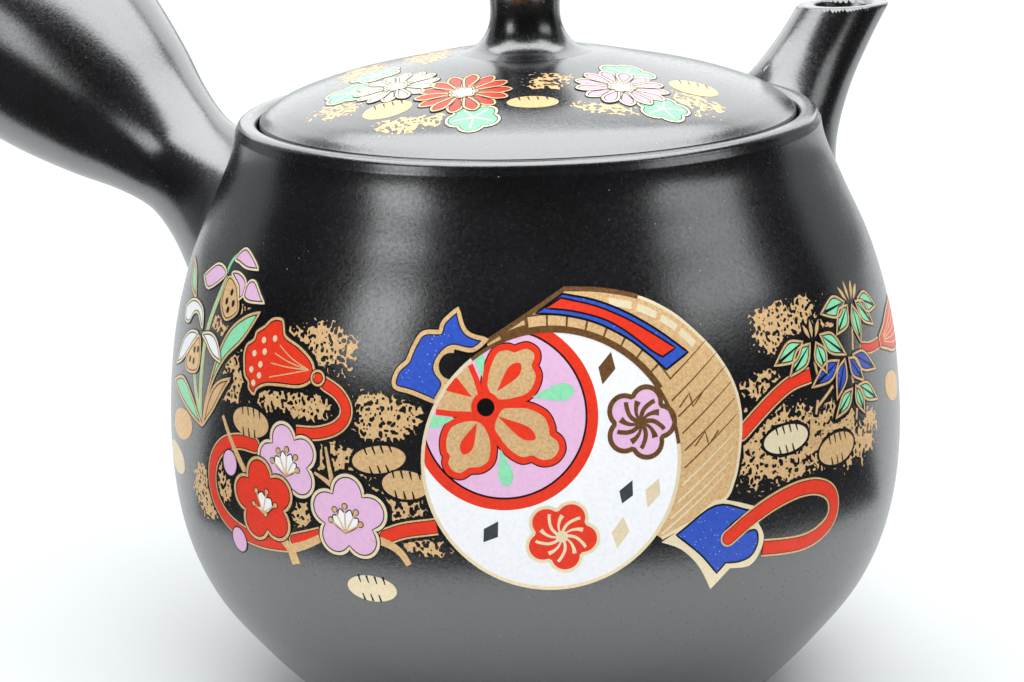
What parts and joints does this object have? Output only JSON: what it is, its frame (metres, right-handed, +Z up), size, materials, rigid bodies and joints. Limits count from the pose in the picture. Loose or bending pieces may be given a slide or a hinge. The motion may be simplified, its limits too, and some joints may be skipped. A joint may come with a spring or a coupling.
{
  "type": "side-handled teapot",
  "caption": "Round black clay teapot with a hollow side handle, a short upturned spout with a strainer inside, and a domed lid with a knob, gold and enamel decoration.",
  "frame": {"origin": "centre of the flat foot, on the table", "axes": "+Z up along the pot's axis; -Y is the decorated front; the spout points between +X and +Y, the handle between +Y and -X"},
  "size_m": [0.1429, 0.129, 0.1057],
  "materials": {
    "clay": "satin",
    "gold": "satin",
    "enamel": "gloss"
  },
  "bodies": {
    "pot": {"pot_body": "clay", "spout": "clay", "handle": "clay", "strainer": "clay"},
    "lid": {"lid": "clay", "lid_knob": "clay"}
  },
  "joints": [
    {"name": "lid_lift", "type": "slide", "parent": "pot", "child": "lid", "axis": [0, 0, 1], "range_m": [0, 0.04]}
  ]
}
